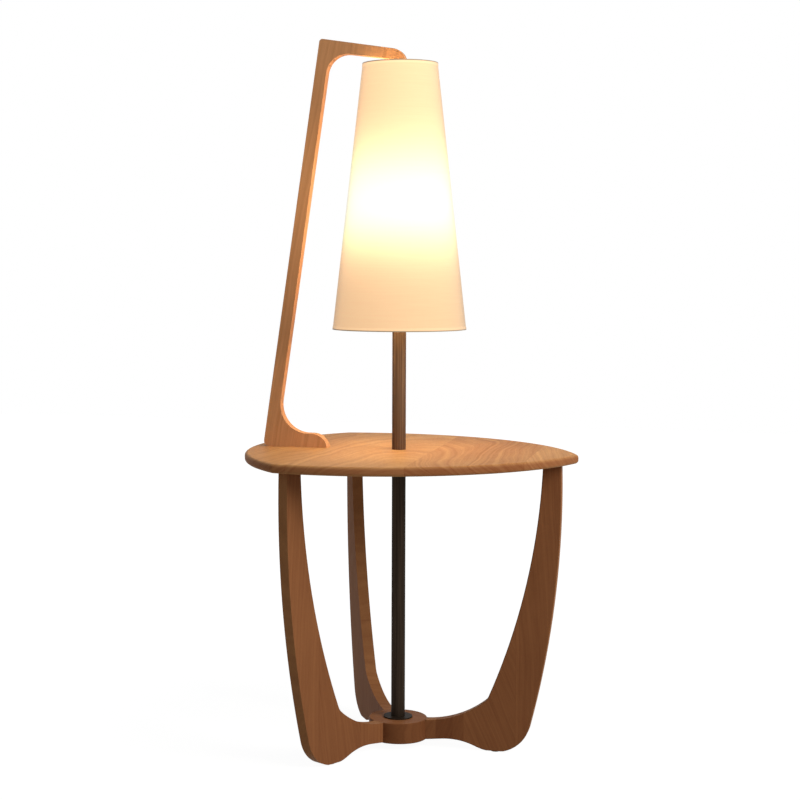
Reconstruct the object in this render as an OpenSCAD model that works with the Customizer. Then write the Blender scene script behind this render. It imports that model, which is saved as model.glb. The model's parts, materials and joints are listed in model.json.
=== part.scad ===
// Floor lamp with a three-sided wooden table, a wooden arm and a tall fabric shade, in millimetres, +Z up.
// The origin lies on the floor, in the middle of the outline seen from above.
// Leg 1 points along +X, the arm along -X.

/* [Tabletop] */
// Height of the tabletop's upper face above the floor
table_h = 539; // [450:1:620]
// Thickness of the tabletop
table_t = 16; // [13:0.5:24]
// Distance from the post's axis to the middle of each side
table_flat = 273; // [262:1:300]
// Radius of the bowed sides
side_r = 407; // [370:1:600]
// Width taken off the tip of each corner
corner_cut = 0.8; // [0.4:0.1:12]
// Rounding of the upper and lower edges
edge_r = 6; // [2:0.5:6]

/* [Legs] */
// Thickness of the leg boards
leg_t = 21; // [16:0.5:28]
// Width of the leg boards where their edges run plumb
leg_w = 32; // [28:0.5:40]
// Reach of the tabletop's corner past the leg
corner_overhang = 28; // [20:1:50]
// Radius of the leg's outer edge
outer_r = 1717; // [1400:1:2400]
// Height at which the outer edge is plumb
outer_plumb_h = 474; // [430:1:540]
// Radius of the leg's inner edge
inner_r = 1202; // [1000:1:1600]
// Height at which the inner edge would be plumb
inner_plumb_h = 568; // [520:1:620]
// Radius of the foot's outer round
foot_round = 64; // [45:1:80]
// Radius of the foot's inner round
heel_round = 88; // [50:1:110]
// Height of the arch between foot and hub
arch_h = 17.5; // [14:0.5:22]
// Distance from the foot's lowest point in to the top of the arch
arch_reach = 83.5; // [70:0.5:95]
// Radius of the low arm's upper edge
low_curve_r = 178; // [150:1:220]
// Radius of the bend between the low arm and the upright
bend_r = 25; // [10:1:60]
// Fall of the arch's underside towards the hub, in degrees
underside_fall = 5.9; // [3:0.1:8]
// Diameter of the felt pads
pad_d = 17; // [12:0.5:20]
// Thickness of the felt pads
pad_t = 1.5; // [1:0.1:3]

/* [Hub] */
// Diameter of the hub
hub_d = 105.5; // [96:0.5:125]
// Height of the hub
hub_h = 37; // [32:0.5:45]
// Gap between the floor and the hub
hub_gap = 12.5; // [10:0.5:20]
// Diameter of the recess under the hub
recess_d = 34; // [30:0.5:42]
// Depth of the recess under the hub
recess_depth = 12; // [11:0.5:16]

/* [Dowels] */
// Diameter of the dowels
dowel_d = 8; // [6:0.5:9]
// Length of the dowels between legs and hub
hub_dowel_l = 40; // [30:1:50]
// Length of the dowels between legs and tabletop
top_dowel_l = 36; // [25:1:50]
// Depth of the top dowels in the tabletop
top_dowel_depth = 10; // [6:0.5:11]
// Distance between the two dowels of a pair
dowel_pitch = 15; // [12:0.5:17]

/* [Post] */
// Diameter of the post tubes
post_d = 25; // [22:0.5:32]
// Wall of the post tubes
post_wall = 1.2; // [0.8:0.1:2.5]
// Length of the upper post
upper_post_l = 335; // [250:1:400]
// Length of the threaded plugs in the tube ends
plug_l = 14; // [10:0.5:25]
// Diameter of the hollow threaded tubes
nipple_d = 10; // [8:0.5:12]
// Bore of the hollow threaded tubes, which is the cord's way
nipple_bore = 7; // [5:0.5:7.5]
// Depth of a hollow threaded tube in its plug
nipple_grip = 12; // [8:0.5:13]

/* [Washers and nut] */
// Diameter of the washer on the hub
hub_washer_d = 52; // [40:1:80]
// Thickness of the washer on the hub
hub_washer_t = 2.5; // [1.5:0.1:4]
// Diameter of the washer under the hub
recess_washer_d = 28; // [24:0.5:29]
// Diameter of the washer under the tabletop
table_washer_d = 40; // [30:1:60]
// Thickness of the hidden washers
washer_t = 1.5; // [1:0.1:2.5]
// Width of the nut across its flats
nut_af = 17; // [15:0.5:19]
// Thickness of the nut
nut_t = 5; // [4:0.5:6]
// Wall of the bushing at the cord's way out
bushing_wall = 1; // [0.6:0.1:1.5]

/* [Arm] */
// Thickness of the arm's board
arm_t = 22; // [18:0.5:28]
// Width of the arm's stem
arm_w = 21; // [16:0.5:28]
// Lean of the stem from the vertical, in degrees
arm_lean = 8.2; // [7:0.1:9]
// Distance from the post's axis to the stem's outer edge at the tabletop
arm_reach = 252.5; // [245:0.5:262]
// Height of the beam's upper edge above the tabletop, at the post's axis
arm_rise = 717; // [650:1:760]
// Depth of the beam at the post's axis
beam_depth = 19; // [18:0.5:26]
// Slope of the beam's upper edge, in degrees
beam_top_slope = 9.1; // [6:0.1:12]
// Slope of the beam's underside, in degrees
beam_under_slope = 8.1; // [5:0.1:11]
// Reach of the beam past the post's axis
tip_reach = 11; // [10:0.5:20]
// Rounding of the beam's tip
tip_round = 25; // [8:0.5:25]
// Rounding of the corner between stem and beam
elbow_round = 6; // [2:0.5:15]
// Fillet between stem and beam
elbow_fillet = 38; // [15:1:50]
// Distance from the post's axis to the toe of the arm's foot
toe_reach = 131.5; // [120:0.5:140]
// Height of the arm's foot
foot_h = 25; // [25:0.5:34]
// Rounding of the foot's toe
toe_round = 29; // [10:0.5:29]
// Fillet between foot and stem
foot_fillet = 52; // [20:1:56]
// Rounding of the stem's outer corner at the tabletop
stem_round = 10; // [3:0.5:16]

/* [Arm screws] */
// Diameter of the screws' shanks
screw_d = 5; // [4:0.5:6]
// Diameter of the screws' heads
screw_head_d = 10; // [8:0.5:12]
// Height of the screws' cone heads
screw_head_h = 3; // [2:0.5:4]
// Length of the screws
screw_l = 36; // [28:1:38]
// Distance of each screw from its end of the arm's foot
screw_inset = 30; // [20:1:40]

/* [Shade] */
// Diameter of the shade at its top rim
shade_top_d = 135; // [110:1:160]
// Diameter of the shade at its bottom rim
shade_bottom_d = 241; // [200:1:280]
// Height of the shade
shade_h = 476; // [400:1:490]
// Gap between the shade's top rim and the arm, at the post's axis
shade_gap = 5; // [4:0.5:10]
// Thickness of the fabric
fabric_t = 1.2; // [0.8:0.1:2]
// Thickness of the lining
lining_t = 0.8; // [0.4:0.1:1.5]
// Thickness of the hems at the rims
trim_t = 0.5; // [0.3:0.1:1]
// Height of the hems at the rims
trim_h = 6; // [4:0.5:12]
// Diameter of the shade's wires
wire_d = 3; // [2:0.1:4]
// Diameter of the plate in the middle of the wire frame
plate_d = 30; // [26:0.5:40]
// Thickness of that plate
plate_t = 2; // [1.5:0.1:3]

/* [Shade fixing] */
// Diameter of the threaded stud in the arm's tip
stud_d = 6; // [5:0.5:8]
// Diameter of the threaded insert in the arm's tip
insert_d = 10; // [9:0.5:12]
// Length of the threaded insert
insert_l = 12; // [8:0.5:12]
// Diameter of the collar between arm and shade
collar_d = 14; // [12:0.5:18]
// Diameter of the nut under the shade's plate
shade_nut_d = 18; // [14:0.5:24]
// Height of the nut under the shade's plate
shade_nut_h = 8; // [5:0.5:12]

/* [Lamp holder] */
// Diameter of the lamp holder
holder_d = 40; // [38:0.5:46]
// Height of the lamp holder's cap
holder_cap_h = 22; // [18:0.5:30]
// Height of the lamp holder's body
holder_body_h = 32; // [28:0.5:36]
// Wall of the lamp holder
holder_wall = 2; // [1.5:0.1:2.5]
// Thickness of the ceramic insert
insert_disc_t = 8; // [5:0.5:10]
// Wall of the brass screw shell
shell_wall = 0.5; // [0.3:0.1:0.8]
// Thickness of the centre contact
contact_t = 1.5; // [1:0.1:2]

/* [Bulb] */
// Diameter of the bulb's glass
bulb_d = 60; // [50:1:65]
// Length of the bulb with its cap
bulb_l = 110; // [100:1:125]
// Diameter of the bulb's screw cap
cap_d = 26.6; // [26:0.1:27]
// Length of the bulb's screw cap
cap_l = 22; // [18:0.5:24]
// Diameter of the glass at its neck
neck_d = 25; // [22:0.5:25.5]
// Radius of the curve between neck and globe
neck_curve_r = 40; // [30:1:50]
// Wall of the bulb's glass
glass_t = 1; // [0.6:0.1:1.5]

/* [Fit] */
// Play around pins, threads and pressed-in pieces
fit = 0.05; // [0.02:0.01:0.1]
// Gap between curved faces of pieces that move apart
clearance = 0.3; // [0.2:0.05:0.5]

/* [Hidden] */
$fn = 96;

wood = "peru";
bronze = "dimgray";
steel = "silver";
brass = "goldenrod";
cloth = "wheat";

// How far a cutting body runs past the piece it cuts, and how far a drawn arc may leave its true circle
over = 1;
arc_error = 0.05;

// Tabletop outline: three arcs of side_r, with centres side_shift behind the axis, cut at the corners
side_shift = side_r - table_flat;
corner_reach = sqrt(pow(side_r, 2) - 0.75 * pow(side_shift, 2)) - side_shift / 2 - corner_cut;
post_x = (table_flat - corner_reach) / 2;

// Levels of the base
hub_r = hub_d / 2;
hub_top = hub_gap + hub_h;
leg_top = table_h - table_t;
lower_post_z = hub_top + hub_washer_t;
lower_post_l = leg_top - washer_t - lower_post_z;
recess_top = hub_gap + recess_depth;
recess_washer_z = recess_top - washer_t;
hub_nut_z = recess_washer_z - nut_t;
nipple_inset = 2;
hub_nipple_z = hub_gap + nipple_inset;
bushing_sleeve_l = 4;
nipple_hole_d = nipple_d + 2 * fit;
plug_d = post_d - 2 * post_wall - 2 * fit;

// Centres of the leg outline's arcs, in reach from the axis and height. The low curve starts inside the hub.
leg_reach = corner_reach - corner_overhang;
outer_c = [leg_reach - outer_r, outer_plumb_h];
inner_c = [leg_reach - leg_w - inner_r, inner_plumb_h];
foot_c = [outer_c.x + sqrt(pow(outer_r - foot_round, 2) - pow(outer_plumb_h - foot_round, 2)), foot_round];
heel_c = [foot_c.x, heel_round];
arch_r = (pow(arch_reach, 2) + pow(arch_h, 2)) / (2 * arch_h) - heel_round;
arch_c = [foot_c.x - arch_reach, arch_h - arch_r];
low_curve_c = [hub_r - leg_t / 4, hub_top + low_curve_r];
bend_c = meeting(low_curve_c, low_curve_r - bend_r, inner_c, inner_r - bend_r);
leg_top_mid = (edge_x(outer_c, outer_r, leg_top) + edge_x(inner_c, inner_r, leg_top)) / 2;
underside_at_hub = arch_c.y + arch_r * cos(underside_fall)
    - (arch_c.x - arch_r * sin(underside_fall) - hub_r) * tan(underside_fall);
hub_dowel_mid = (hub_top + underside_at_hub) / 2;

// Levels and places on the arm and the shade
spot_gap = 0.5;
ring_gap = 1;
stud_end = 2;
beam_under = table_h + arm_rise - beam_depth;
spot_face = beam_under + (collar_d / 2 + spot_gap) * tan(beam_under_slope);
shade_top = beam_under - shade_gap;
shade_bottom = shade_top - shade_h;
shade_taper = (shade_bottom_d - shade_top_d) / 2 / shade_h;
wall_lean = atan(shade_taper);
ring_inset = wire_d / 2 + trim_t + ring_gap;
top_ring_z = shade_top - ring_inset;
bottom_ring_z = shade_bottom + ring_inset;
plate_top = top_ring_z + plate_t / 2;
plate_under = top_ring_z - plate_t / 2;
shade_nut_z = plate_under - shade_nut_h;
screw_spots = [toe_reach + screw_inset, arm_reach - screw_inset];

// Levels of the lamp holder and the bulb
holder_z = table_h + upper_post_l;
insert_disc_z = holder_z + holder_cap_h;
insert_disc_top = insert_disc_z + insert_disc_t;
bulb_z = insert_disc_top + contact_t + clearance;
shell_gap = 1;
cap_lip = 1;
contact_d = cap_d / 3;
bulb_contact_t = 1.5;
bulb_insulator_t = 3.5;
cap_z = bulb_contact_t + bulb_insulator_t;
globe_r = bulb_d / 2;

// Points of an arc from angle a0 to angle a1
function arc(c, r, a0, a1) =
    let (steps = ceil(abs(a1 - a0) / (2 * acos(1 - arc_error / r))))
    [for (i = [0:steps]) let (a = a0 + (a1 - a0) * i / steps) c + r * [cos(a), sin(a)]];

// Direction from one point to another, in degrees
function heading(from, to) = atan2(to.y - from.y, to.x - from.x);

// Reach of the right-hand side of a circle at height z
function edge_x(c, r, z) = c.x + sqrt(r * r - pow(z - c.y, 2));

// The crossing of two circles that lies to the right of the line from the second centre to the first
function meeting(c1, r1, c2, r2) =
    let (d = norm(c1 - c2))
    let (along = (r2 * r2 - r1 * r1 + d * d) / (2 * d))
    let (across = sqrt(r2 * r2 - along * along))
    let (u = (c1 - c2) / d)
    c2 + along * u + across * [u.y, -u.x];

// The crossing of two lines, each given by a point and a direction in degrees
function crossing(p, a, q, b) =
    let (d = q - p)
    p + (d.x * sin(b) - d.y * cos(b)) / sin(b - a) * [cos(a), sin(a)];

// One corner of an outline, rounded with radius r by an arc that touches both its sides
function rounded_corner(before, corner, after, r) =
    let (u = (before - corner) / norm(before - corner))
    let (v = (after - corner) / norm(after - corner))
    let (half = acos(u * v) / 2)
    let (c = corner + (u + v) / norm(u + v) * r / sin(half))
    let (sweep = (cross(u, v) > 0 ? -1 : 1) * (90 - half))
    let (middle = heading(c, corner))
    r == 0 ? [corner] : arc(c, r, middle - sweep, middle + sweep);

// A closed outline from corners with a radius each
function rounded_outline(corners, radii) =
    let (n = len(corners))
    [for (i = [0:n - 1])
        each rounded_corner(corners[(i + n - 1) % n], corners[i], corners[(i + 1) % n], radii[i])];

// Reach of the shade's outer face from the axis at height z, without the hems
function shade_r(z) = shade_top_d / 2 - trim_t + (shade_top - z) * shade_taper;

module on_post(z = 0) {
    translate([post_x, 0, z]) children();
}

module bore(d, z0, z1) {
    translate([0, 0, z0]) cylinder(d = d, h = z1 - z0);
}

module tube(outer, inner, z0, z1) {
    difference() {
        bore(outer, z0, z1);
        bore(inner, z0 - over, z1 + over);
    }
}

// A board in the plane of the axis, from an outline in reach and height
module board(thickness, points) {
    rotate([90, 0, 0]) linear_extrude(height = thickness, center = true) polygon(points);
}

// A disc with rounded edges, whose +X side is one bowed side of the tabletop
module side_slab() {
    flat_r = side_r - edge_r;
    translate([-side_shift, 0, 0]) rotate_extrude() {
        square([flat_r, table_t]);
        translate([0, edge_r]) square([side_r, table_t - 2 * edge_r]);
        translate([flat_r, edge_r]) circle(r = edge_r);
        translate([flat_r, table_t - edge_r]) circle(r = edge_r);
    }
}

module at_legs() {
    for (i = [0:2]) {
        rotate(120 * i) children();
    }
}

module top_dowel_row(extra, below, above) {
    at_legs() {
        for (side = [-1, 1]) {
            translate([leg_top_mid + side * dowel_pitch / 2, 0, 0]) bore(dowel_d + extra, below, above);
        }
    }
}

module hub_dowel_row(extra) {
    at_legs() {
        for (side = [-1, 1]) {
            translate([hub_r, 0, hub_dowel_mid + side * dowel_pitch / 2])
                rotate([0, 90, 0])
                    cylinder(d = dowel_d + extra, h = hub_dowel_l + extra, center = true);
        }
    }
}

module screw_row(extra, top) {
    for (reach = screw_spots) {
        translate([-reach, 0, leg_top]) {
            bore(screw_d + extra, 0, top);
            cylinder(d1 = screw_head_d + extra, d2 = screw_d + extra, h = screw_head_h);
        }
    }
}

module tabletop() {
    color(wood) on_post() difference() {
        translate([0, 0, leg_top]) intersection() {
            rotate(60) side_slab();
            rotate(180) side_slab();
            rotate(300) side_slab();
            cylinder(r = corner_reach, h = table_t);
        }
        bore(nipple_hole_d, leg_top - over, table_h + over);
        top_dowel_row(2 * fit, leg_top - over, leg_top + top_dowel_depth + fit);
        screw_row(2 * fit, table_t + over);
    }
}

// The leg's outline, from the hub along its underside, round the foot, up the outer edge and back down inside
function leg_outline() =
    let (arch_start = 90 + underside_fall, arch_end = heading(arch_c, heel_c))
    let (foot_end = 360 + heading(outer_c, foot_c), outer_end = asin((leg_top - outer_c.y) / outer_r))
    let (inner_start = asin((leg_top - inner_c.y) / inner_r), inner_end = heading(inner_c, bend_c))
    let (bend_end = heading(low_curve_c, bend_c))
    let (points = concat(
        [[low_curve_c.x, underside_at_hub - (hub_r - low_curve_c.x) * tan(underside_fall)]],
        arc(arch_c, arch_r, arch_start, arch_end),
        arc(heel_c, heel_round, arch_end + 180, 270),
        arc(foot_c, foot_round, 270, foot_end),
        arc(outer_c, outer_r, foot_end - 360, outer_end),
        arc(inner_c, inner_r, inner_start, inner_end),
        arc(bend_c, bend_r, inner_end, bend_end),
        arc(low_curve_c, low_curve_r, bend_end, -90)))
    [for (p = points) [p.x, max(p.y, pad_t)]];

module leg(i) {
    color(wood) on_post() difference() {
        rotate(120 * i) board(leg_t, leg_outline());
        bore(hub_d, 0, hub_top + over);
        hub_dowel_row(2 * fit);
        top_dowel_row(2 * fit, leg_top + top_dowel_depth - top_dowel_l - fit, leg_top + over);
    }
}

module leg_1() {
    leg(0);
}

module leg_2() {
    leg(1);
}

module leg_3() {
    leg(2);
}

module hub() {
    color(wood) on_post() difference() {
        bore(hub_d, hub_gap, hub_top);
        bore(nipple_hole_d, hub_gap - over, hub_top + over);
        bore(recess_d, hub_gap - over, recess_top);
        hub_dowel_row(2 * fit);
    }
}

module hub_dowels() {
    color("burlywood") on_post() hub_dowel_row(0);
}

module top_dowels() {
    top = leg_top + top_dowel_depth;
    color("burlywood") on_post() top_dowel_row(0, top - top_dowel_l, top);
}

module foot_pads() {
    color("saddlebrown") on_post() at_legs() translate([foot_c.x, 0, 0]) bore(pad_d, 0, pad_t);
}

module hub_washer() {
    color(bronze) on_post() tube(hub_washer_d, nipple_hole_d, hub_top, lower_post_z);
}

module recess_washer() {
    color(steel) on_post() tube(recess_washer_d, nipple_hole_d, recess_washer_z, recess_top);
}

module hub_nut() {
    color(steel) on_post() difference() {
        translate([0, 0, hub_nut_z]) cylinder(d = nut_af / cos(30), h = nut_t, $fn = 6);
        bore(nipple_hole_d, hub_nut_z - over, recess_washer_z + over);
    }
}

module hub_nipple() {
    color(steel) on_post() tube(nipple_d, nipple_bore, hub_nipple_z, lower_post_z + nipple_grip);
}

// A lip below the nipple's end, and a sleeve inside it
module cord_bushing() {
    sleeve_d = nipple_bore - 2 * fit;
    color("black") on_post() difference() {
        union() {
            bore(nipple_d, hub_nipple_z - bushing_wall, hub_nipple_z);
            bore(sleeve_d, hub_nipple_z - bushing_wall, hub_nipple_z + bushing_sleeve_l);
        }
        bore(sleeve_d - 2 * bushing_wall, hub_gap, hub_top);
    }
}

module lower_post() {
    color(bronze) on_post() tube(post_d, post_d - 2 * post_wall, lower_post_z, lower_post_z + lower_post_l);
}

module upper_post() {
    color(bronze) on_post() tube(post_d, post_d - 2 * post_wall, table_h, holder_z);
}

module plug(z) {
    color(steel) on_post() tube(plug_d, nipple_hole_d, z, z + plug_l);
}

module base_plug() {
    plug(lower_post_z);
}

module under_table_plug() {
    plug(lower_post_z + lower_post_l - plug_l);
}

module over_table_plug() {
    plug(table_h);
}

module top_plug() {
    plug(holder_z - plug_l);
}

module table_nipple() {
    low_end = leg_top - washer_t - nipple_grip;
    color(steel) on_post() tube(nipple_d, nipple_bore, low_end, table_h + nipple_grip);
}

module table_washer() {
    color(steel) on_post() tube(table_washer_d, nipple_hole_d, leg_top - washer_t, leg_top);
}

module top_nipple() {
    color(steel) on_post() tube(nipple_d, nipple_bore, holder_z - nipple_grip, holder_z + nipple_grip);
}

// The arm's outline, from the toe along the tabletop, up the stem, along the beam and back inside
function arm_outline() =
    let (stem = 90 + arm_lean, heel = [arm_reach, 0], toe = [toe_reach, 0], axis_top = [0, arm_rise])
    let (stem_in = [arm_reach - arm_w / cos(arm_lean), 0], tip_under = [-tip_reach, 0])
    let (under = [0, arm_rise - beam_depth])
    let (tip = crossing(tip_under, 90, under, beam_under_slope))
    rounded_outline(
        [
            toe,
            heel,
            crossing(heel, stem, axis_top, beam_top_slope),
            crossing(tip, 90 - arm_lean, axis_top, beam_top_slope),
            tip,
            crossing(stem_in, stem, under, beam_under_slope),
            crossing(stem_in, stem, [0, foot_h], 0),
            crossing(toe, 90 - arm_lean, [0, foot_h], 0)
        ],
        [0, stem_round, elbow_round, tip_round, 0, elbow_fillet, foot_fillet, toe_round]);

module arm() {
    color(wood) on_post() difference() {
        translate([0, 0, table_h]) rotate(180) board(arm_t, arm_outline());
        screw_row(2 * fit, screw_l + fit);
        bore(insert_d + 2 * fit, shade_top, spot_face + insert_l);
        bore(collar_d + 2 * spot_gap, shade_top, spot_face);
    }
}

module arm_screws() {
    color(steel) on_post() screw_row(0, screw_l);
}

module tip_insert() {
    color(brass) on_post() tube(insert_d, stud_d + 2 * fit, spot_face, spot_face + insert_l);
}

module shade_stud() {
    color(steel) on_post() bore(stud_d, shade_nut_z - stud_end, spot_face + insert_l);
}

module shade_collar() {
    color(bronze) on_post() tube(collar_d, stud_d + 2 * fit, plate_top, spot_face);
}

module shade_nut() {
    color(brass) on_post() tube(shade_nut_d, stud_d + 2 * fit, shade_nut_z, plate_under);
}

// A cup with a cone wall, whose thick rim carries the insert and the body
module holder_cap() {
    r = holder_d / 2;
    foot = post_d / 2 + cap_lip;
    rim = r - 2 * holder_wall;
    color("black") on_post(holder_z) rotate_extrude() polygon([
        [nipple_hole_d / 2, 0],
        [foot, 0],
        [r, holder_cap_h / 2],
        [r, holder_cap_h],
        [rim, holder_cap_h],
        [rim, holder_cap_h / 2],
        [foot - holder_wall, 2 * holder_wall],
        [nipple_hole_d / 2, 2 * holder_wall]
    ]);
}

module holder_body() {
    mouth_d = cap_d + 2 * (clearance + shell_wall + shell_gap);
    color("black") on_post() difference() {
        bore(holder_d, insert_disc_z, insert_disc_z + holder_body_h);
        bore(holder_d - 2 * holder_wall, insert_disc_z - over, insert_disc_z + holder_body_h - holder_wall);
        bore(mouth_d, insert_disc_z, insert_disc_z + holder_body_h + over);
    }
}

module holder_insert() {
    color("white") on_post() bore(holder_d - 2 * holder_wall - 2 * fit, insert_disc_z, insert_disc_top);
}

module holder_shell() {
    inner_d = cap_d + 2 * clearance;
    color(brass) on_post() tube(inner_d + 2 * shell_wall, inner_d, insert_disc_top, insert_disc_top + cap_l);
}

module holder_contact() {
    color(brass) on_post() bore(contact_d, insert_disc_top, insert_disc_top + contact_t);
}

// The bulb's outline for a given inset: neck, the curve to the globe, and the globe, open at its neck
function glass_outline(inset, neck_z) =
    let (neck_r = neck_d / 2 - inset, curve_r = neck_curve_r + inset, r = globe_r - inset)
    let (globe_z = bulb_l - globe_r, curve_x = neck_r + curve_r)
    let (curve_z = globe_z - sqrt(pow(r + curve_r, 2) - curve_x * curve_x))
    let (meet = heading([curve_x, curve_z], [0, globe_z]))
    concat(
        [[0, neck_z], [neck_r, neck_z]],
        arc([curve_x, curve_z], curve_r, 180, meet),
        arc([0, globe_z], r, meet - 180, 90));

module bulb_glass() {
    neck_z = cap_z + cap_l / 2;
    color("ivory") on_post(bulb_z) rotate_extrude() difference() {
        polygon(glass_outline(0, neck_z));
        polygon(glass_outline(glass_t, neck_z - over));
    }
}

module bulb_cap() {
    color(steel) on_post(bulb_z) tube(cap_d, neck_d + 2 * fit, cap_z, cap_z + cap_l);
}

module bulb_insulator() {
    color("black") on_post(bulb_z + bulb_contact_t)
        cylinder(d1 = cap_d / 2, d2 = cap_d, h = bulb_insulator_t);
}

module bulb_contact() {
    color(steel) on_post(bulb_z) bore(contact_d, 0, bulb_contact_t);
}

// A cone shell between two insets from the shade's outer face
module shade_skin(outer_inset, inner_inset, z0, z1) {
    function face(z, inset) = [shade_r(z) - inset / cos(wall_lean), z];
    rotate_extrude() polygon([
        face(z0, inner_inset),
        face(z0, outer_inset),
        face(z1, outer_inset),
        face(z1, inner_inset)
    ]);
}

module shade_fabric() {
    color(cloth) on_post() shade_skin(0, fabric_t, shade_bottom + trim_t, shade_top - trim_t);
}

module shade_lining() {
    inner_face = fabric_t + lining_t;
    color("white") on_post() shade_skin(fabric_t, inner_face, shade_bottom + trim_t, shade_top - trim_t);
}

// A hem folded over a rim: an outer band, and an edge that covers fabric and lining
module trim(band_z0, band_z1, edge_z0, edge_z1) {
    on_post() {
        shade_skin(-trim_t, 0, band_z0, band_z1);
        shade_skin(-trim_t, fabric_t + lining_t, edge_z0, edge_z1);
    }
}

module shade_top_trim() {
    color(cloth) trim(shade_top - trim_h, shade_top, shade_top - trim_t, shade_top);
}

module shade_bottom_trim() {
    color(cloth) trim(shade_bottom, shade_bottom + trim_h, shade_bottom, shade_bottom + trim_t);
}

function ring_r(z) = shade_r(z) - (fabric_t + lining_t + wire_d / 2 + fit) / cos(wall_lean);

module ring(z) {
    translate([0, 0, z]) rotate_extrude() translate([ring_r(z), 0]) circle(d = wire_d);
}

module shade_frame() {
    color(steel) on_post() difference() {
        union() {
            ring(top_ring_z);
            bore(plate_d, plate_under, plate_top);
            for (i = [0:2]) {
                rotate(120 * i + 60) translate([plate_d / 2 - wire_d, 0, top_ring_z])
                    rotate([0, 90, 0]) cylinder(d = wire_d, h = ring_r(top_ring_z) - plate_d / 2 + wire_d);
            }
        }
        bore(stud_d + 4 * fit, plate_under - over, plate_top + over);
    }
}

module shade_bottom_ring() {
    color(steel) on_post() ring(bottom_ring_z);
}

tabletop();
leg_1();
leg_2();
leg_3();
hub();
hub_dowels();
top_dowels();
foot_pads();
hub_washer();
recess_washer();
hub_nut();
hub_nipple();
cord_bushing();
lower_post();
upper_post();
base_plug();
under_table_plug();
over_table_plug();
top_plug();
table_nipple();
table_washer();
top_nipple();
arm();
arm_screws();
tip_insert();
shade_stud();
shade_collar();
shade_nut();
holder_cap();
holder_body();
holder_insert();
holder_shell();
holder_contact();
bulb_glass();
bulb_cap();
bulb_insulator();
bulb_contact();
shade_fabric();
shade_lining();
shade_frame();
shade_bottom_ring();
shade_top_trim();
shade_bottom_trim();
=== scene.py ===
"""Looks of the floor lamp with table: rounded wood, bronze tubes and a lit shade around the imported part.

Everything is in metres in the part's frame: +Z up, leg 1 along +X, the arm on the -X side.
"""
import json
import math

import bmesh
import bpy
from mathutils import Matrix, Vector


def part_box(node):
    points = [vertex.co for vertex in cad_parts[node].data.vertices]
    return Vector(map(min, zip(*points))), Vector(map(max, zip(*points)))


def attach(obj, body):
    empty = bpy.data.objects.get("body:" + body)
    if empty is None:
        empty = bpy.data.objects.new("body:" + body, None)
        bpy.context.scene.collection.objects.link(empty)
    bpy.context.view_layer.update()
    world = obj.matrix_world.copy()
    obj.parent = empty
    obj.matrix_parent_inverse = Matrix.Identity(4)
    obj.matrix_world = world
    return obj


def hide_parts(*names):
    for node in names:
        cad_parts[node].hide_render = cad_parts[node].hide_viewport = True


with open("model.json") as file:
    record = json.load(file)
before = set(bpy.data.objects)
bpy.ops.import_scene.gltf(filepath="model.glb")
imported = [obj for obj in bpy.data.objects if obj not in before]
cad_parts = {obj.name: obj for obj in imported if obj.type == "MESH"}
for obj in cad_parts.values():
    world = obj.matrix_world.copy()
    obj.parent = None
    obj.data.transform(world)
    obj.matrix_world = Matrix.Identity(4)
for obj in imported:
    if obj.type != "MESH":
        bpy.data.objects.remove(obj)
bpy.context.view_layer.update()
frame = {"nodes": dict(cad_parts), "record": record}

# Sizes that repeat the part's source: tabletop, boards, hub recess and pads
TABLE_FLAT = 0.273
SIDE_R = 0.407
EDGE_R = 0.006
LEG_T = 0.021
ARM_T = 0.022
ARM_LEAN = 8.2
RECESS_R = 0.017
PAD_R = 0.0085

# Sizes that repeat the part's source: shade
SHADE_TOP_R = 0.0675
SHADE_BOTTOM_R = 0.1205
FABRIC_T = 0.0012
LINING_T = 0.0008
HEM_T = 0.0005
HEM_H = 0.006

# Roundings that only the scene has, and the width of the ring round the flat middle of a pad
CORNER_R = 0.018
LEG_ROUND = 0.0018
ARM_ROUND = 0.0022
HUB_ROUND = 0.0015
PAD_ROUND = 0.0004
HEM_ROUND = 0.6 * HEM_T
PAD_RING = 0.003

# Steps round a turned piece, along the shade's height, and along a stretch of an outline or a rounded edge
TURNED_STEPS = 128
PAD_STEPS = 40
SHADE_STEPS = 192
SHADE_ROWS = 24
SIDE_STEPS = 36
CORNER_STEPS = 8
EDGE_STEPS = 7
ROUND_STEPS = 5
BOARD_ROUND_STEPS = 4
HEM_ROUND_STEPS = 3

# The directions of the three legs, in degrees
THIRD = 120
THIRDS = (0, THIRD, 2 * THIRD)

# Edges with a larger angle than these, in degrees, are shaded as sharp
SHARP = 40
SHARP_CLOTH = 60
SHARP_CAD = 35

# Weight of large faces in the shading of an edge, where 50 is neutral
LARGE_FACES = 100

# How close points of a CAD board are to be one, to lie on its face, or to touch its neighbour. Edges under
# FLAT_ANGLE, in degrees, are seams within a face, and those past RIM_ANGLE, in radians, bound it.
SAME_POINT = 1e-6
ON_FACE = 1e-5
TOUCHING = 1e-4
FLAT_ANGLE = 0.4
RIM_ANGLE = 1.0

# Places and sizes from the frame
table_low, table_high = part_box("tabletop")
hub_low, hub_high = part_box("hub")
shade_low, shade_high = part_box("shade_bottom_trim")[0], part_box("shade_top_trim")[1]
bulb_low, bulb_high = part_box("bulb_glass")
bulb_middle = (bulb_low.z + bulb_high.z) / 2
POST = (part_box("upper_post")[0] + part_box("upper_post")[1]) / 2
POST_X = POST.x
HUB_R = (hub_high.x - hub_low.x) / 2

# What most of a noise's values lie between, and a narrower part of that for more contrast
NOISE_RANGE = (0.3, 0.7)
NOISE_CORE = (0.35, 0.65)

# Strength of every bump. Its depth is in metres.
BUMP_STRENGTH = 0.6

# Sockets of the Mix node's colour form, whose names aren't unique
MIX_SHARE, MIX_A, MIX_B, MIX_COLOUR = 0, 6, 7, 2

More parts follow.
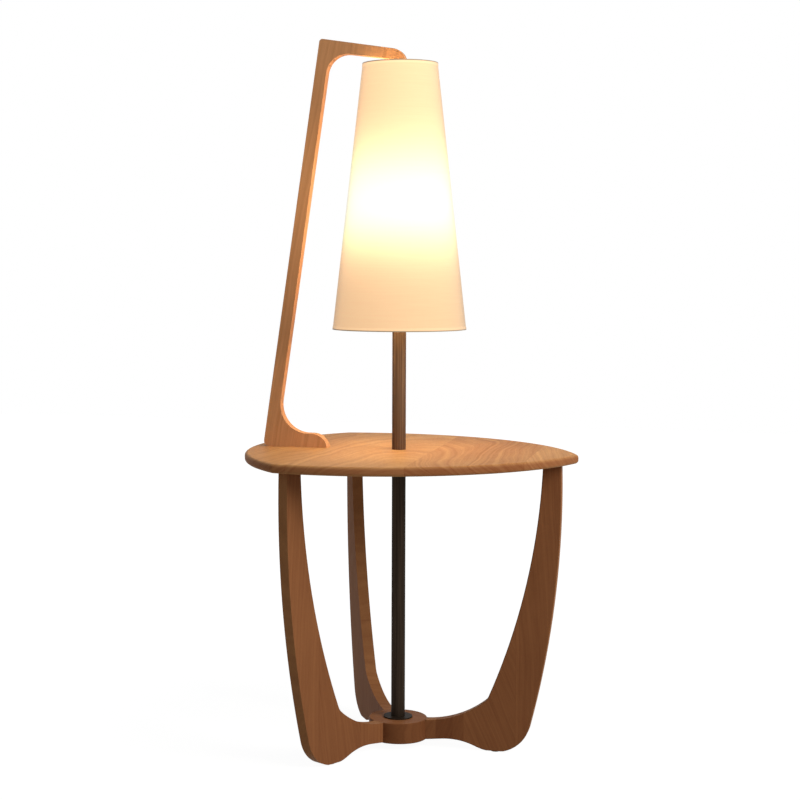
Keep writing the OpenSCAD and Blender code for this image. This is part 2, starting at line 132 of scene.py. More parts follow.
# Cells of the wood's noises in a metre, across the fibres and along them, and what part of a noise is flecks
BEND_CELLS = (9.0, 3.0)
WAVE_CELLS = (240.0, 9.0)
FIBRE_CELLS = (1100.0, 30.0)
FLECK_CELLS = (1600.0, 300.0)
CLOUD_CELLS = (16.0, 5.0)
FLECK_RANGE = (0.62, 0.7)

# Growth rings: how far their axis moves sideways and in depth from stave to stave, how much the board's
# thickness counts, how far the rings bend and wave, and how many years two staves can be apart
AXIS_SWING = 0.10
AXIS_DEPTH = 0.05
THICKNESS_SHARE = 0.7
BEND = 0.03
BEND_SHIFT = 3.7
WAVE = 0.0016
YEARS_APART = 40.0

# How far each pattern takes the wood from its pale colour to its dark one
FIBRE_SHARE = 0.22
FLECK_SHARE = 0.14
CLOUD_SHARE = 0.12
GLUE_SHARE = 0.18

# Where a glue line begins to fade and where it ends, from its middle
GLUE_LINE = (0.0002, 0.0007)

# Surface of the wood: gloss, least and most roughness, depth of its relief, and the part that late wood and
# fibres have in it
WOOD_GLOSS = 0.04
WOOD_ROUGHNESS = (0.48, 0.6)
WOOD_RELIEF = 0.000006
LATE_RELIEF = -0.4
FIBRE_RELIEF = -0.6

# Colours of the wood, 0 to 255, and what the narrow sides multiply them by. The legs' colours are darker than
# the top's and the arm's: partly their own tone, partly painted shade. The narrow-side factors are painted
# light and shade: lighter, greyer sides on the legs, and darker edges on the tabletop and a darker turned
# wall on the hub, below their better lit flat tops.
LEG_PALE, LEG_DARK = (164, 108, 68), (120, 71, 43)
TOP_PALE, TOP_DARK = (226, 171, 112), (176, 114, 66)
ARM_PALE, ARM_DARK = (223, 164, 115), (180, 122, 77)
DOWEL_PALE, DOWEL_DARK = (216, 176, 130), (186, 142, 98)
LEG_SIDE_PAINTED_LIGHT = (1.28, 1.4, 1.38)
TOP_SIDE_PAINTED_SHADE = (0.6, 0.48, 0.48)
HUB_SIDE_PAINTED_SHADE = (0.68, 0.64, 0.62)

# Staves of the tabletop and the legs: each glue joint's place, and the tone and slope of the grain past it
TOP_STAVES = ((-0.135, -0.04, 0.1), (0.065, 0.16, -0.1), (0.246, -0.04, 0.05))
LEG_STAVES = (
    ((0.072, 0.3, -0.35), (0.102, 0.15, -0.3), (0.122, -0.02, 0.45), (0.216, -0.14, 0.1),
     (0.222, 0.02, 0.05)),
    ((0.06, 0.1, 0.2), (0.14, 0.0, -0.1), (0.2, -0.1, 0.05)),
    ((0.052, -0.1, 0.0), (0.11, 0.0, -0.15), (0.216, -0.08, 0.05)),
)

# Tubes: cells in a metre across and along the draw marks, the lacquer's roughness, and what the marks add
DRAW_CELLS = (420.0, 420.0, 6.0)
BRONZE_ROUGHNESS = (0.34, 0.44)
DRAW_ROUGHNESS = 0.06

# Roughness of the felt pads and of the cloth
FELT_ROUGHNESS = (0.85, 1.0)
CLOTH_ROUGHNESS = (0.8, 0.95)

# Cloth: threads round the shade, pitch of those across them, cells of the uneven weft in a metre, and of the
# uneven warp in a radian and a metre, with the share of each, and how far thick threads stand out
WARP_THREADS = 720.0
WEFT_PITCH = 0.0008
SLUB_CELLS = (14.0, 14.0, 520.0)
THREAD_CELLS = (150.0, 24.0)
SLUB_SHARE = 0.7
THREAD_SHARE = 0.3
SLUB_RELIEF = 1.5

# The bulb's light in the cloth: its colour, its strength at the lower and upper rim, what it gains beside the
# bulb, how far down and up that reaches, and how far over the bulb's middle it is strongest
GLOW_COLOUR = (1.0, 0.62, 0.33)
GLOW_ENDS = (0.80, 1.12)
GLOW_BESIDE = 2.05
GLOW_REACH_DOWN = 0.077
GLOW_REACH_UP = 0.095
GLOW_RISE = 0.012

# The most that each colour of that light gets to, and what thin and thick threads multiply it by
GLOW_MOST = (1.35, 1.3, 1.0)
GLOW_PEAK = max(GLOW_MOST)
GLOW_UNEVEN = (1.004, 0.996)

# Height of the dark fold over the wire at each rim, and the share of the light that it lets through
FOLD_H = 0.0024
FOLD_LIGHT = 0.1

# The photograph's view: image width, focal length and centre in pixels, and the camera's place and angles
IMAGE_PX = 800
FOCAL_PX = 1735.28
CENTRE_PX = (292.35, 354.93)
SENSOR_MM = 36
CAMERA_PLACE = (0.6156, -3.0643, 0.8818)
CAMERA_DIP = 3.15
CAMERA_TURN = 15.33

# Room: what it looks like, and the colour and strength of its light on the object
WHITE = (1, 1, 1, 1)
ROOM_COLOUR = (0.92, 1.0, 1.04, 1.0)
ROOM_LIGHT = 0.32

# Floor: half its width, its paint, the white that it has of its own from near the object to far from it, and
# the share of that white in what the camera sees
FLOOR_HALF = 6.0
FLOOR_PAINT = (0.40, 0.39, 0.38, 1.0)
FLOOR_NEAR, FLOOR_FAR = 0.5, 1.6
FLOOR_WHITE = (1.36, 1.45)
FLOOR_SHARE = 0.7

# Key light at the right: its direction in degrees, distance, width, power in watts and colour, and its aim
KEY_AZIMUTH, KEY_ELEVATION = 66, 28
KEY_DISTANCE, KEY_SIZE = 3.0, 1.6
KEY_POWER = 62
KEY_COLOUR = (1.0, 0.97, 0.93)
AIM = (0, 0, 0.6)

# Ball lamps for the bulb's light past the shade's rims: name, height, distance from the axis and power
RIM_LAMPS = (
    ("lower", shade_low.z + 0.049, 0.075, 0.47),
    ("upper", shade_high.z - 0.102, 0.042, 0.38),
)
LAMP_TURNS = (30, 150, 270)
LAMP_COLOUR = (1.0, 0.84, 0.58)
LAMP_BALL_R = 0.02

# Ball lamps for the bulb's light through the cloth: distance from the axis, directions, power and colour
THROUGH_R = 0.07
THROUGH_TURNS = (90, 270)
THROUGH_POWER = 1.5
THROUGH_COLOUR = (1.0, 0.8, 0.6)


# Meshes
def polar(r, degrees, z=0.0):
    """A point at radius r from the post's axis."""
    a = math.radians(degrees)
    return Vector((POST_X + r * math.cos(a), r * math.sin(a), z))


def heading(degrees):
    """The level unit vector at an angle from +X."""
    a = math.radians(degrees)
    return Vector((math.cos(a), math.sin(a), 0))


def loft(mesh, rings, loop=False):
    """Adds faces through rings of points, with a cap at each end or the last ring joined to the first."""
    rows = [[mesh.verts.new(p) for p in ring] for ring in rings]
    count = len(rows[0])
    for low, high in zip(rows, rows[1:] + rows[:1] if loop else rows[1:]):
        for i in range(count):
            j = (i + 1) % count
            mesh.faces.new((low[i], low[j], high[j], high[i]))
    if not loop:
        mesh.faces.new(rows[0])
        mesh.faces.new(rows[-1])


def lathe(mesh, profile, centre=POST, steps=TURNED_STEPS, loop=True):
    """Turns a profile of (radius, height) pairs about the upright axis through centre."""
    turns = [2 * math.pi * i / steps for i in range(steps)]
    loft(mesh, [[(centre[0] + r * math.cos(a), centre[1] + r * math.sin(a), z) for a in turns]
                for r, z in profile], loop)


def rounded(profile, corners, radius, steps=ROUND_STEPS):
    """A closed profile whose corners with the given numbers are rounded."""
    out = []
    for i, here in enumerate(profile):
        here = Vector(here)
        if i not in corners:
            out.append(tuple(here))
            continue
        before = (Vector(profile[i - 1]) - here).normalized() * radius
        after = (Vector(profile[(i + 1) % len(profile)]) - here).normalized() * radius
        for k in range(steps + 1):
            a = math.pi / 2 * k / steps
            out.append(tuple(here + before * (1 - math.sin(a)) + after * (1 - math.cos(a))))
    return out


def piece(name, mesh, body, material, nodes, sharp=SHARP):
    """Makes an object of a mesh, in the place of CAD nodes."""
    bmesh.ops.recalc_face_normals(mesh, faces=mesh.faces)
    data = bpy.data.meshes.new(name)
    mesh.to_mesh(data)
    mesh.free()
    data.materials.append(material)
    for polygon in data.polygons:
        polygon.use_smooth = True
    data.set_sharp_from_angle(angle=math.radians(sharp))
    made = bpy.data.objects.new(name, data)
    bpy.context.scene.collection.objects.link(made)
    weighted = made.modifiers.new("even shading", "WEIGHTED_NORMAL")
    weighted.keep_sharp = True
    weighted.weight = LARGE_FACES
    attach(made, body)
    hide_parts(*nodes)
    return made


def table_outline(inset, z):
    """The tabletop's outline at a distance in from its edge: rounded corners and bowed sides."""
    # Each side is an arc about a point that is shift from the axis, a third of a turn from both its corners.
    # Seen from the axis towards such a corner, the point lies beside and behind.
    shift = SIDE_R - TABLE_FLAT
    beside = math.sqrt(0.75) * shift
    behind = shift / 2
    corner_c = math.sqrt((SIDE_R - CORNER_R) ** 2 - beside ** 2) - behind
    half = math.degrees(math.atan2(beside, corner_c + behind))
    points = []
    for turn in THIRDS:
        for i in range(CORNER_STEPS + 1):
            out = heading(turn - half + 2 * half * i / CORNER_STEPS)
            points.append(polar(corner_c, turn, z) + (CORNER_R - inset) * out)
        for i in range(1, SIDE_STEPS):
            out = heading(turn + half + (THIRD - 2 * half) * i / SIDE_STEPS)
            points.append(polar(shift, turn + 2 * THIRD, z) + (SIDE_R - inset) * out)
    return points


def make_tabletop(material):
    """The tabletop, with quarter rounds on its upper and lower edges."""
    mesh = bmesh.new()
    quarter = [math.pi / 2 * i / EDGE_STEPS for i in range(EDGE_STEPS + 1)]
    top = [(EDGE_R * (1 - math.sin(a)), table_high.z - EDGE_R * (1 - math.cos(a))) for a in quarter]
    under = [(inset, table_low.z + table_high.z - z) for inset, z in reversed(top)]
    loft(mesh, [table_outline(inset, z) for inset, z in top + under])
    piece("table_board", mesh, "lamp", material, ["tabletop"])


def make_board(name, node, thickness, radius, turn, keep_square, material):
    """A CAD board with the edges of its two faces rounded.

    The board lies in the upright plane through the post at the angle turn. An edge stays square where
    keep_square is true at both its ends.
    """
    mesh = bmesh.new()
    mesh.from_mesh(frame["nodes"][node].data)
    bmesh.ops.remove_doubles(mesh, verts=mesh.verts, dist=SAME_POINT)
    bmesh.ops.dissolve_limit(mesh, angle_limit=math.radians(FLAT_ANGLE), verts=mesh.verts, edges=mesh.edges)
    across = heading(turn + 90)

    def on_face(vert):
        return abs(abs((vert.co - Vector((POST_X, 0, 0))).dot(across)) - thickness / 2) < ON_FACE

    rim = []
    for edge in mesh.edges:
        if len(edge.link_faces) != 2 or not all(on_face(v) for v in edge.verts):
            continue
        if edge.calc_face_angle(0) > RIM_ANGLE and not all(keep_square(v.co) for v in edge.verts):
            rim.append(edge)
    bmesh.ops.bevel(mesh, geom=rim, offset=radius, segments=BOARD_ROUND_STEPS, profile=0.5, affect="EDGES",
                    clamp_overlap=True)
    piece(name, mesh, "lamp", material, [node])


def at_hub_or_table(co):
    """True where a leg meets the hub or the tabletop."""
    return math.hypot(co.x - POST_X, co.y) < HUB_R + TOUCHING or co.z > table_low.z - TOUCHING


def nowhere(co):
    """False everywhere, for a board that is rounded all round."""
    return False


def make_hub(material):
    """The hub, with its bore and the recess in its underside."""
    nipple_low, nipple_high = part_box("hub_nipple")
    bore_r = (nipple_high.x - nipple_low.x) / 2
    recess_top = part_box("recess_washer")[1].z
    profile = [(bore_r, recess_top), (RECESS_R, recess_top), (RECESS_R, hub_low.z), (HUB_R, hub_low.z),
               (HUB_R, hub_high.z), (bore_r, hub_high.z)]
    mesh = bmesh.new()
    lathe(mesh, rounded(profile, (2, 3, 4), HUB_ROUND))
    piece("hub_block", mesh, "lamp", material, ["hub"])


def make_pads(material):
    """Felt discs with soft edges, one under each foot."""
    low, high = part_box("foot_pads")
    reach = high.x - POST_X - PAD_R
    flat_r = PAD_R - PAD_RING
    profile = rounded([(flat_r, low.z), (PAD_R, low.z), (PAD_R, high.z), (flat_r, high.z)], (1, 2), PAD_ROUND)
    mesh = bmesh.new()
    for turn in THIRDS:
        lathe(mesh, profile, polar(reach, turn), PAD_STEPS, loop=False)
    piece("felt_pads", mesh, "lamp", material, ["foot_pads"])


def shade_r(z):
    """Radius of the shade's outer face, without the hems."""
    share = (z - shade_low.z) / (shade_high.z - shade_low.z)
    return SHADE_BOTTOM_R + (SHADE_TOP_R - SHADE_BOTTOM_R) * share - HEM_T


def cone_band(outer, inner, z0, z1):
    """A closed profile between two insets from the shade's outer face."""
    heights = [z0 + (z1 - z0) * i / SHADE_ROWS for i in range(SHADE_ROWS + 1)]
    return ([(shade_r(z) - inner, z) for z in heights]
            + [(shade_r(z) - outer, z) for z in reversed(heights)])


def make_shade(cloth, liner, hem):
    """The fabric, the film behind it and the tapes folded over both rims."""
    low, high = shade_low.z + HEM_T, shade_high.z - HEM_T
    full = FABRIC_T + LINING_T

    mesh = bmesh.new()
    lathe(mesh, cone_band(0, FABRIC_T, low, high), steps=SHADE_STEPS)
    fabric = piece("shade_cloth", mesh, "shade", cloth, ["shade_fabric"], SHARP_CLOTH)

    mesh = bmesh.new()
    lathe(mesh, cone_band(FABRIC_T, full, low, high), steps=SHADE_STEPS)
    piece("shade_liner", mesh, "shade", liner, ["shade_lining"], SHARP_CLOTH)

    for name, rim, inward in (("bottom", shade_low.z, 1), ("top", shade_high.z, -1)):
        edge, band = rim + inward * HEM_T, rim + inward * HEM_H
        profile = [(shade_r(rim) - full, rim), (shade_r(rim) + HEM_T, rim), (shade_r(band) + HEM_T, band),
                   (shade_r(band), band), (shade_r(edge), edge), (shade_r(edge) - full, edge)]
        mesh = bmesh.new()
        lathe(mesh, rounded(profile, (1, 2), HEM_ROUND, HEM_ROUND_STEPS), steps=SHADE_STEPS)
        piece(f"shade_hem_{name}", mesh, "shade", hem, [f"shade_{name}_trim"], SHARP_CLOTH)


# Materials
def linear(*srgb):
    """Scene colour of an 8-bit sRGB colour."""
    return tuple(c / 255 / 12.92 if c <= 10 else ((c / 255 + 0.055) / 1.055) ** 2.4 for c in srgb) + (1.0,)


class Tree:
    """A node tree, with short calls for its nodes. Values are numbers, colours or other nodes' sockets."""

    def __init__(self, tree):
        self.tree = tree

    def set(self, node, key, value):
        """Links a socket to an input, or sets the input's own value."""
        socket = node.inputs[key]
        if isinstance(value, bpy.types.NodeSocket):
            self.tree.links.new(value, socket)
        else:
            socket.default_value = value

    def node(self, kind, inputs=None, **settings):
        """A new node. Its settings come before its inputs, because they decide which inputs it has."""
        node = self.tree.nodes.new("ShaderNode" + kind)
        for key, value in settings.items():
            setattr(node, key, value)
        for key, value in (inputs or {}).items():
            self.set(node, key, value)
        return node

    def add(self, kind, inputs=None, out=0, **settings):
        """One output of a new node."""
        return self.node(kind, inputs, **settings).outputs[out]

    def math(self, operation, *values):
        """A sum, product or other result of numbers."""
        return self.add("Math", dict(enumerate(values)), operation=operation)

    def vector(self, operation, *values, out=0):
        """The same for vectors and colours."""
        return self.add("VectorMath", dict(enumerate(values)), out, operation=operation)

    def xyz(self, x, y, z):
        """A vector of three parts."""
        return self.add("CombineXYZ", {0: x, 1: y, 2: z})

    def axes(self, vector):
        """The three parts of a vector."""
        return self.node("SeparateXYZ", {0: vector}).outputs

    def noise(self, vector, scale, detail=3.0, roughness=0.5):
        """A soft noise with scale cells in a unit of the vector."""
        inputs = {"Vector": vector, "Scale": scale, "Detail": detail, "Roughness": roughness}
        return self.add("TexNoise", inputs)

    def mix(self, share, a, b):
        """A colour between a and b."""
        return self.add("Mix", {MIX_SHARE: share, MIX_A: a, MIX_B: b}, MIX_COLOUR, data_type="RGBA")

    def remap(self, value, low, high, to_low, to_high):
        """A value clipped to one range and stretched to another."""
        return self.add("MapRange", dict(enumerate((value, low, high, to_low, to_high))))

    def turned(self, vector, turn):
        """A vector turned back by an angle about the upright axis."""
        return self.add("Mapping", {"Vector": vector, "Rotation": (0, 0, -math.radians(turn))})

    def place(self, turn=0.0):
        """The point's place from the post's axis, turned back by an angle about it."""
        point = self.vector("SUBTRACT", self.add("TexCoord", out="Object"), (POST_X, 0, 0))
        return self.turned(point, turn)


class Nodes(Tree):
    """A material and its node tree. Settings such as sheen_weight are values of the shader's own sockets."""

    def __init__(self, name, **settings):
        self.material = bpy.data.materials.new(name)
        self.material.use_nodes = True
        super().__init__(self.material.node_tree)
        self.shader = self.tree.nodes["Principled BSDF"]
        for key, value in settings.items():
            self.set(self.shader, key.replace("_", " ").title().replace("Ior", "IOR"), value)

    def finish(self, colour, roughness=None, height=None, depth=0.0):
        """The material, with its colour, its roughness and a bump as deep as depth."""
        self.set(self.shader, "Base Color", colour)
        if roughness is not None:
            self.set(self.shader, "Roughness", roughness)
        if height is not None:
            bump = self.add("Bump", {"Height": height, "Distance": depth, "Strength": BUMP_STRENGTH})
            self.set(self.shader, "Normal", bump)
        return self.material


def glued(n, across, staves, seed, tone, slope):
    """The number, tone and grain slope of the stave at a point, and 1 in the glue line between two."""
    count, shade, lie = seed, tone, slope
    to_joint = 1.0
    for place, next_tone, next_slope in staves:
        past = n.math("GREATER_THAN", across, place)
        count = n.math("ADD", count, past)
        shade = n.math("MULTIPLY_ADD", past, next_tone - tone, shade)
        lie = n.math("MULTIPLY_ADD", past, next_slope - slope, lie)
        to_joint = n.math("MINIMUM", to_joint, n.math("ABSOLUTE", n.math("SUBTRACT", across, place)))
        tone, slope = next_tone, next_slope
    return count, shade, lie, n.remap(to_joint, *GLUE_LINE, 1.0, 0.0)


def stretched(n, board, cells, detail=2.0, roughness=0.5, shift=0.0):
    """A noise drawn out along the fibres, with the given cells in a metre across them and along them."""
    across, along, through = board
    point = n.xyz(n.math("MULTIPLY_ADD", across, cells[0], shift), n.math("MULTIPLY", along, cells[1]),
                  n.math("MULTIPLY", through, cells[0]))
    return n.noise(point, 1.0, detail, roughness)


def late_wood(n, board, pick, tilt, rings):
    """How much late wood a point has, 0 to 1.

    The growth rings lie about an axis beside the board, are uneven in width and wander along the grain. pick
    holds three random values of the stave.
    """
    across, along, through = board
    x = n.math("MULTIPLY_ADD", pick[0], AXIS_SWING, n.math("SUBTRACT", across, AXIS_SWING / 2))
    depth = n.math("MULTIPLY_ADD", along, tilt, n.math("MULTIPLY_ADD", pick[1], AXIS_DEPTH, -AXIS_DEPTH))
    y = n.math("ADD", n.math("MULTIPLY", through, THICKNESS_SHARE), depth)
    r = n.math("SQRT", n.math("ADD", n.math("MULTIPLY", x, x), n.math("MULTIPLY", y, y)))
    r = n.math("MULTIPLY_ADD", stretched(n, board, BEND_CELLS, shift=BEND_SHIFT), BEND, r)
    r = n.math("MULTIPLY_ADD", stretched(n, board, WAVE_CELLS), WAVE, r)
    year = n.math("MULTIPLY_ADD", r, rings, n.math("MULTIPLY", pick[2], YEARS_APART))
    inputs = {"W": year, "Scale": 1.0, "Detail": 3.0, "Roughness": 0.6}
    return n.remap(n.add("TexNoise", inputs, noise_dimensions="1D"), *NOISE_RANGE, 0.0, 1.0)


def wood(name, pale, dark, grain, face, turn=0.0, staves=(), tone=0.0, seed=0.0, lean=0.0, slope=0.0,
         tilt=0.15, rings=150.0, figure=0.32, painted_side_shading=(1.0, 1.0, 1.0), arris_shade=0.35):
    """Lacquered beech. grain names the axis along the fibres and face the axis across the staves.

    staves lists each glue joint's place, with the tone and the grain's slope of the stave past it. tone and
    slope are those of the first stave, and seed is its number. turn and lean turn the pattern with the board.
    tilt is the slope of the growth rings' axis to the board, which draws them out into flames, rings is their
    number in a metre, and figure is how strongly they show. painted_side_shading multiplies the colour of the
    board's narrow sides as painted light and shade, and arris_shade darkens the rounded edges between them
    and the faces with painted shade.
    """
    n = Nodes(name, specular_ior_level=WOOD_GLOSS)
    point = n.place(turn)
    if lean:
        point = n.add("Mapping", {"Vector": point, "Rotation": (0, -math.radians(lean), 0)})
    axis = n.axes(point)
    grain_index, face_index = "XYZ".index(grain), "XYZ".index(face)
    through_index = 3 - grain_index - face_index
    along, across, through = axis[grain_index], axis[face_index], axis[through_index]

    count, shade, lie, joint = glued(n, across, staves, seed, tone, slope)
    board = (n.math("MULTIPLY_ADD", along, lie, across), along, through)
    pick = n.axes(n.add("TexWhiteNoise", {"W": count}, "Color", noise_dimensions="1D"))
    late = late_wood(n, board, pick, tilt, rings)

    # Fibres, the short ray flecks of beech, and slow changes of colour
    fibre = n.remap(stretched(n, board, FIBRE_CELLS, detail=3.0, roughness=0.6), *NOISE_RANGE, 0.0, 1.0)
    fleck = n.remap(stretched(n, board, FLECK_CELLS, detail=1.0), *FLECK_RANGE, 0.0, 1.0)
    cloud = n.remap(stretched(n, board, CLOUD_CELLS, detail=3.0), *NOISE_RANGE, -1.0, 1.0)

    # The colour halfway between pale and dark, moved by each pattern
    share = n.math("MULTIPLY_ADD", late, figure, 0.5 - 0.5 * figure)
    share = n.math("MULTIPLY_ADD", fibre, FIBRE_SHARE, n.math("SUBTRACT", share, FIBRE_SHARE / 2))
    share = n.math("MULTIPLY_ADD", fleck, FLECK_SHARE, share)
    share = n.math("MULTIPLY_ADD", cloud, CLOUD_SHARE, share)
    share = n.math("ADD", share, shade)
    share = n.math("MULTIPLY_ADD", joint, GLUE_SHARE, share)
    colour = n.mix(n.add("Clamp", {"Value": share}), linear(*pale), linear(*dark))

    # Flat faces look along the board's thickness. The rounded edges lie between them and the narrow sides,
    # and the product of flat and side gets to a quarter there.
    facing = n.axes(n.turned(n.add("TexCoord", out="Normal"), turn))[through_index]
    flat = n.math("MULTIPLY", facing, facing)
    side = n.math("SUBTRACT", 1.0, flat)
    arris = n.math("MULTIPLY", n.math("MULTIPLY", flat, side), 4.0)
    # Painted shade on the rounded edges, and painted light and shade on the narrow sides: lighter on the
    # legs, darker on the tabletop and the hub.
    painted_edge_shade = n.math("MULTIPLY_ADD", arris, -arris_shade, 1.0)
    tint = n.mix(side, n.xyz(painted_edge_shade, painted_edge_shade, painted_edge_shade), painted_side_shading + (1.0,))
    colour = n.vector("MULTIPLY", colour, tint)
    roughness = n.remap(fibre, 0.0, 1.0, *WOOD_ROUGHNESS)
    height = n.math("MULTIPLY_ADD", late, LATE_RELIEF, n.math("MULTIPLY", fibre, FIBRE_RELIEF))
    return n.finish(colour, roughness, height, depth=WOOD_RELIEF)


def bronze(name, pale, dark):
    """Bronze lacquer on a drawn tube, with faint draw marks along it."""
    n = Nodes(name, metallic=0.4, specular_ior_level=0.06, specular_tint=(0.1, 0.08, 0.06, 1.0))
    point = n.place()
    streak = n.noise(n.vector("MULTIPLY", point, DRAW_CELLS), 1.0)
    cloud = n.noise(point, scale=60.0, detail=4.0)
    colour = n.mix(n.remap(streak, *NOISE_RANGE, 0.0, 1.0), linear(*dark), linear(*pale))
    lacquer = n.remap(cloud, *NOISE_RANGE, *BRONZE_ROUGHNESS)
    roughness = n.math("MULTIPLY_ADD", streak, DRAW_ROUGHNESS, lacquer)
    return n.finish(colour, roughness, streak, depth=0.00002)


def metal(name, pale, dark, rough, plating=300.0, swing=0.07):
    """Plated or brushed small metal with a fine mottle of plating cells in a metre, and slower wear."""
    n = Nodes(name, metallic=0.9)
    point = n.place()
    mottle = n.noise(point, plating, detail=5.0, roughness=0.6)
    wear = n.noise(point, plating / 6)
    colour = n.mix(n.remap(wear, *NOISE_CORE, 0.0, 1.0), linear(*pale), linear(*dark))
    roughness = n.remap(mottle, *NOISE_RANGE, rough - swing, rough + swing)
    return n.finish(colour, roughness, mottle, depth=0.00002)


def moulded(name, pale, dark, rough, grit=900.0, swing=0.05):
    """Moulded plastic or ceramic with a fine orange-peel surface of grit cells in a metre."""
    n = Nodes(name, specular_ior_level=0.4)
    point = n.place()
    peel = n.noise(point, grit, detail=2.0)
    cloud = n.noise(point, scale=50.0)
    colour = n.mix(n.remap(cloud, *NOISE_RANGE, 0.0, 1.0), linear(*pale), linear(*dark))
    roughness = n.remap(peel, *NOISE_RANGE, rough - swing, rough + swing)
    return n.finish(colour, roughness, peel, depth=0.00003)


def felt(name, pale, dark):
    """Pressed wool felt."""
    n = Nodes(name, sheen_weight=0.5, sheen_roughness=0.6)
    fibre = n.noise(n.place(), scale=2500.0, detail=6.0, roughness=0.7)
    colour = n.mix(fibre, linear(*dark), linear(*pale))
    return n.finish(colour, n.remap(fibre, *NOISE_RANGE, *FELT_ROUGHNESS), fibre, depth=0.0002)


def glow_light(n, z, uneven, fold):
    """The bulb's light in the cloth at height z, as a share of GLOW_PEAK, brightest beside the bulb."""
    above = n.math("SUBTRACT", z, bulb_middle + GLOW_RISE)
    power = n.remap(z, shade_low.z, shade_high.z, *GLOW_ENDS)
    up, down = n.math("DIVIDE", above, GLOW_REACH_UP), n.math("DIVIDE", above, -GLOW_REACH_DOWN)
    away = n.math("MAXIMUM", up, down)
    beside = n.math("EXPONENT", n.math("MULTIPLY", n.math("MULTIPLY", away, away), -1.0))
    power = n.math("MULTIPLY_ADD", beside, GLOW_BESIDE, power)
    threads = n.remap(uneven, *NOISE_CORE, *[part / GLOW_PEAK for part in GLOW_UNEVEN])
    power = n.math("MULTIPLY", power, threads)
    if fold < 1:
        to_rim = n.math("MINIMUM", n.math("SUBTRACT", z, shade_low.z), n.math("SUBTRACT", shade_high.z, z))
        power = n.math("MULTIPLY", power, n.remap(to_rim, FOLD_H / 2, FOLD_H, fold, 1.0))
    light = n.vector("MULTIPLY", n.xyz(power, power, power), GLOW_COLOUR)
    return n.vector("MINIMUM", light, [part / GLOW_PEAK for part in GLOW_MOST])


def woven(name, pale, dark, glow, fold=1.0):
    """Cloth round the post's axis: crossing threads, uneven warp and weft, and the bulb's glow.

    glow is the strength of that light, and fold the share of it that the folds over the wires at both rims
    let through.
    """
    n = Nodes(name, sheen_weight=1.0, sheen_roughness=0.42, specular_ior_level=0.1,
              emission_strength=GLOW_PEAK * glow)
    point = n.place()
    x, y, z = n.axes(point)
    angle = n.math("ARCTAN2", y, x)
    warp = n.math("SINE", n.math("MULTIPLY", angle, WARP_THREADS))
    weft = n.math("SINE", n.math("MULTIPLY", z, 2 * math.pi / WEFT_PITCH))
    weave = n.math("MULTIPLY", warp, weft)
    slub = n.noise(n.vector("MULTIPLY", point, SLUB_CELLS), 1.0, detail=2.0)
    across, along = n.math("MULTIPLY", angle, THREAD_CELLS[0]), n.math("MULTIPLY", z, THREAD_CELLS[1])
    thread = n.noise(n.xyz(across, 0.0, along), 1.0, detail=2.0)
    uneven = n.math("MULTIPLY_ADD", slub, SLUB_SHARE, n.math("MULTIPLY", thread, THREAD_SHARE))
    colour = n.mix(n.remap(uneven, *NOISE_CORE, 0.0, 1.0), linear(*pale), linear(*dark))
    n.set(n.shader, "Emission Color", glow_light(n, z, uneven, fold))
    height = n.math("MULTIPLY_ADD", uneven, SLUB_RELIEF, weave)
    return n.finish(colour, n.remap(weave, -1.0, 1.0, *CLOTH_ROUGHNESS), height, depth=0.0001)


def opal(name):
    """Opal glass lit from inside."""
    n = Nodes(name, roughness=0.25, emission_strength=6.0)
    cloud = n.noise(n.place(), scale=40.0)
    n.set(n.shader, "Emission Color", n.mix(cloud, linear(255, 226, 170), linear(255, 238, 200)))
    return n.finish(n.mix(cloud, linear(255, 246, 226), linear(255, 252, 242)))


def make_wood():
    """The wooden pieces: tabletop, three legs, hub and arm."""
    make_tabletop(wood("beech top", TOP_PALE, TOP_DARK, "Y", "X", staves=TOP_STAVES, seed=3.0, tilt=0.1,
                       rings=260.0, figure=0.42, painted_side_shading=TOP_SIDE_PAINTED_SHADE, arris_shade=0.0))
    for i, staves in enumerate(LEG_STAVES):
        beech = wood(f"beech leg {i + 1}", LEG_PALE, LEG_DARK, "Z", "X", THIRDS[i], staves, seed=10.0 * i + 1,
                     slope=-0.3, tilt=0.2, figure=0.26, painted_side_shading=LEG_SIDE_PAINTED_LIGHT)
        make_board(f"leg_board_{i + 1}", f"leg_{i + 1}", LEG_T, LEG_ROUND, THIRDS[i], at_hub_or_table, beech)
    make_hub(wood("beech hub", LEG_PALE, LEG_DARK, "X", "Y", tone=-0.1, seed=5.0, painted_side_shading=HUB_SIDE_PAINTED_SHADE))
    make_board("arm_board", "arm", ARM_T, ARM_ROUND, 0, nowhere,
               wood("beech arm", ARM_PALE, ARM_DARK, "Z", "X", seed=8.0, lean=ARM_LEAN))


